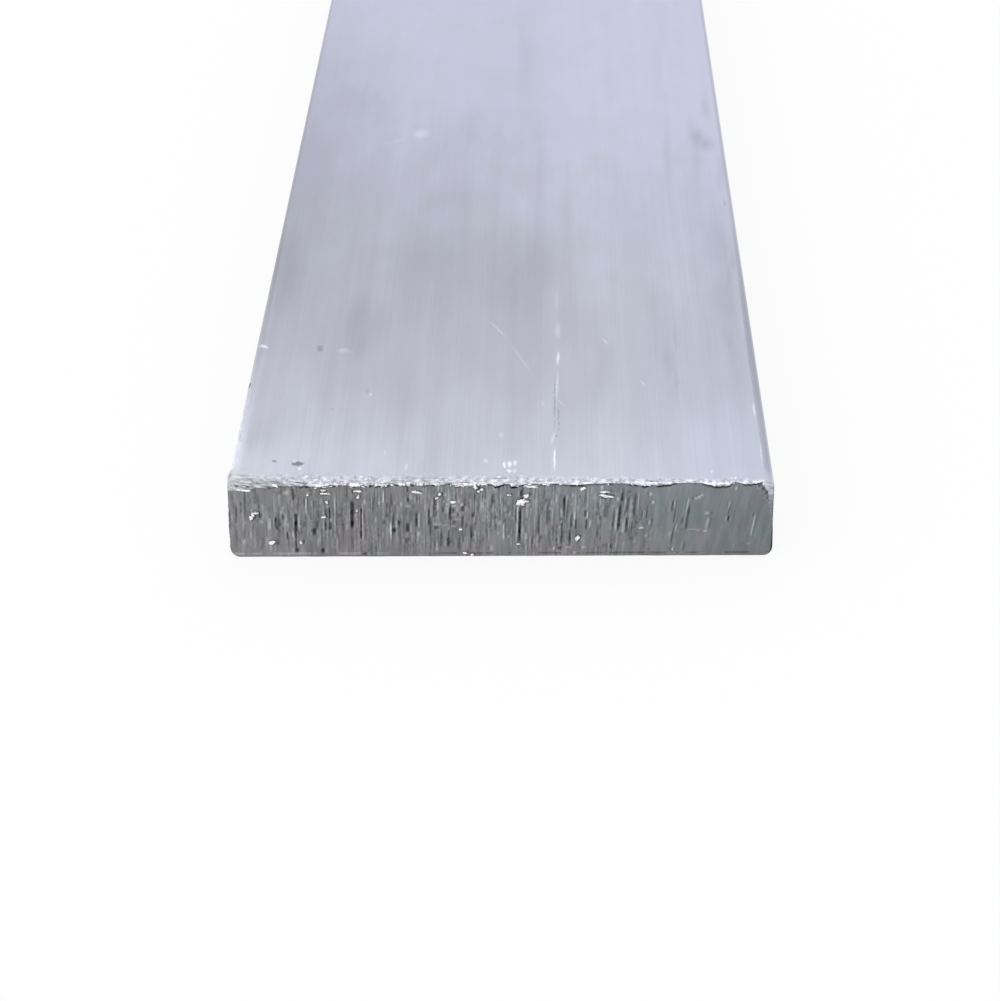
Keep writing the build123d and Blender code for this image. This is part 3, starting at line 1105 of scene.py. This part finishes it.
def sawn_finish():
    """The sawn ends: dull grey, streaked upright by the teeth, and darkened in the tears by stain
    and painted shade.
    """
    material, recipe, shader = new_finish("sawn_finish")
    across, along, up = recipe.place()
    leaned = across - recipe.rise(across, 4, 24, 0.04, 0.14) * up
    at = recipe.vector(leaned, along * 0.01, up)
    plain = recipe.vector(across, along * 0.01, up)

    # Neutral at the left and the foot, and cooler at the right and the top.
    cool = recipe.rise(across + 3.4 * up, 6, 34)
    base = recipe.mix(cool, paint(132, 131, 133), paint(125, 132, 136))
    tint = recipe.noise(plain, (1.6, 1, 1.8), seed=5)
    tint_stops = {
        0.38: (124, 134, 132),
        0.50: (129, 131, 135),
        0.62: (136, 130, 133),
    }
    tinted = recipe.rise(across + 2 * up, -20, 0, 0.12, 0.34)
    base = recipe.mix(tinted, base, recipe.ramp(tint, tint_stops))

    # Streaks and grain, which fade to the right and at the foot, and soft clouds.
    calm = recipe.rise(across, 11, 16, 1.0, 0.15) * recipe.rise(across, -24, -20, 0.6, 1.0)
    patch = recipe.noise(plain, (2.4, 1, 2.0), seed=19)
    rough = calm * recipe.rise(up, 0.2, 1.2, 0.5, 1.0) * recipe.rise(patch, 0.42, 0.56, 0.2, 1.15)
    coarse = recipe.noise(at, (0.8, 1, 9), seed=8) - 0.5
    cloud = recipe.noise(at, (0.6, 1, 3.2), seed=16) - 0.5
    fine = recipe.noise(at, (0.24, 1, 4.0), seed=7) - 0.5
    grain = recipe.noise(at, (0.20, 1, 0.34), 2, 0.6, seed=9) - 0.5
    tone = 1 + rough * (0.85 * fine + 0.36 * grain) + 0.28 * cloud + 0.24 * calm * coarse
    tone = tone + recipe.rise(up, 3.5, 7, 0.0, 0.04) - recipe.rise(across, 18, 20, 0.0, 0.045)
    high = recipe.rise(up + recipe.rise(across, -20, -17, 0.0, 7.0), 4.5, 6.5, -0.6, 1.0)
    tone = tone - high * recipe.rise(across, -12, -7, 0.04, 0.0)

    # A darker rim at the sides, and broken lines along the foot: pale at the left, a painted
    # highlight on the small burr there, and dark at the right.
    from_side = WIDTH / 2 - abs(across) + recipe.rise(across, -1, 1, 0.15, -0.02)
    rim = recipe.rise(from_side, 0.0, 0.12, 0.5, 0.0)
    worn = recipe.noise(plain, (1.2, 1, 9), 2, 0.6, seed=15)
    above_foot = abs(up - 0.35)
    foot_highlight = recipe.rise(above_foot, 0.05, 0.18, 0.20, 0.0)
    foot_highlight = foot_highlight * recipe.rise(across, -13, -8, 1.0, 0.0)
    dark_foot = recipe.rise(above_foot, 0.04, 0.13, 0.22, 0.0)
    dark_foot = dark_foot * recipe.rise(across, -8, -4)
    foot = (foot_highlight - dark_foot) * recipe.rise(worn, 0.44, 0.54)
    # The darkening kept on the mesh is stain and painted shade in the grooves, and painted shadow
    # under the burr and round the flakes; the lightening is painted highlights on the ridges.
    dark = recipe.kept("dark")
    bright = recipe.kept("bright")
    tone = tone - 0.75 * dark + 0.68 * bright - rim + foot

    relief = rough * (fine + 0.5 * grain) + 0.5 * coarse * calm
    recipe.dress(shader, recipe.shade(base, tone), 0.46 + 0.2 * fine, relief, 0.02)
    return material


def swarf_finish():
    """Fresh torn aluminium, brighter than what it came from."""
    material, recipe, shader = new_finish("swarf_finish")
    across, along, up = recipe.place()
    at = recipe.vector(across, along, up)
    crumple = recipe.noise(at, (0.16, 0.16, 0.16), 2, 0.6, seed=2)
    stops = {
        0.32: (165, 169, 174),
        0.42: (235, 237, 240),
        0.50: (255, 255, 255),
    }
    dull = recipe.rise(across, 14, 17, 1.0, 0.74)
    colour = recipe.shade(recipe.ramp(crumple, stops), dull)
    recipe.dress(shader, colour, 0.25 + 0.3 * crumple, crumple, 0.01)
    return material


# The studio

# The floor: its radius in metres, how white it is painted, and how much of what a camera or
# a mirror sees of it is plain white instead.
FLOOR_RADIUS = 14
FLOOR_PAINT = 0.92
FLOOR_GLOW = 0.86


def make_floor():
    """A white floor, which keeps a soft shadow."""
    bm = bmesh.new()
    bmesh.ops.create_circle(bm, cap_ends=True, segments=96, radius=FLOOR_RADIUS)
    mesh = bpy.data.meshes.new("floor")
    bm.to_mesh(mesh)
    bm.free()
    floor = add_object("floor", mesh)
    floor.location.z = LOW.z

    material = bpy.data.materials.new("floor_white")
    material.use_nodes = True
    recipe = Recipe(material.node_tree)
    rays = recipe.node("ShaderNodeLightPath").socket.node
    seen = Field(recipe, rays.outputs["Is Camera Ray"])
    seen = seen.math("MAXIMUM", seen, Field(recipe, rays.outputs["Is Glossy Ray"]))
    seen = seen.math("MAXIMUM", seen, Field(recipe, rays.outputs["Is Transmission Ray"]))
    matt = recipe.node("ShaderNodeBsdfDiffuse", inputs={"Color": (*[FLOOR_PAINT] * 3, 1)})
    white = recipe.node("ShaderNodeEmission", inputs={"Color": (1, 1, 1, 1), "Strength": 1.0})
    shares = {0: FLOOR_GLOW * seen, 1: matt, 2: white}
    both = recipe.node("ShaderNodeMixShader", inputs=shares)
    recipe.fill(material.node_tree.nodes["Material Output"].inputs["Surface"], both)
    mesh.materials.append(material)


def make_world():
    """Even white light from all round, a little stronger overhead."""
    world = bpy.data.worlds.new("studio")
    world.use_nodes = True
    bpy.context.scene.world = world
    recipe = Recipe(world.node_tree)
    facing = recipe.node("ShaderNodeTexCoord", output="Generated")
    sideways, _, upwards = recipe.axes(facing)
    level = 0.84 + 0.24 * recipe.rise(upwards, 0, 1) - 0.12 * recipe.rise(sideways, 0.2, 0.8)
    sky = world.node_tree.nodes["Background"]
    sky.inputs["Color"].default_value = (1, 1, 1, 1)
    recipe.fill(sky.inputs["Strength"], level)


# The softbox over the left shoulder: its place, its side in metres, and its radiance, of
# which 1 is white.
SOFTBOX_PLACE = (-0.8, -1.0, 0.9)
SOFTBOX_SIZE = 2.4
SOFTBOX_RADIANCE = 0.29


def make_softbox():
    """A square lamp aimed at the near end, to bring out its relief."""
    lamp = bpy.data.lights.new("key_softbox", "AREA")
    lamp.size = SOFTBOX_SIZE
    lamp.energy = SOFTBOX_RADIANCE * math.pi * SOFTBOX_SIZE ** 2
    softbox = add_object("key_softbox", lamp)
    softbox.location = SOFTBOX_PLACE
    softbox.visible_camera = False
    aim = Vector((0, LOW.y, 0)) - Vector(SOFTBOX_PLACE)
    softbox.rotation_euler = aim.to_track_quat("-Z", "Y").to_euler()


# The camera's place in metres, its turn about the upright axis, its dip below level, and
# its roll. The lens is for a picture of 1000 by 1001 on a sensor 36 mm high.
CAMERA_PLACE = (0.00506, -0.42642, 0.12200)
CAMERA_TURN = 1.644
CAMERA_DIP = 33.279
CAMERA_ROLL = -1.129
LENS = 83.08
SENSOR = 36


def make_camera():
    """Looks down along the bar from just past its sawn end."""
    data = bpy.data.cameras.new("camera")
    data.lens = LENS
    data.sensor_width = SENSOR
    data.clip_start = 0.01
    camera = add_object("camera", data)
    turn = Matrix.Rotation(math.radians(CAMERA_TURN), 4, "Z")
    dip = Matrix.Rotation(math.radians(90 - CAMERA_DIP), 4, "X")
    roll = Matrix.Rotation(math.radians(CAMERA_ROLL), 4, "Z")
    camera.matrix_world = Matrix.Translation(CAMERA_PLACE) @ turn @ dip @ roll
    bpy.context.scene.camera = camera


bar = make_bar()
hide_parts("flat_bar")
make_swarf()
make_floor()
make_world()
make_softbox()
make_camera()
bpy.context.scene.view_settings.view_transform = "Standard"
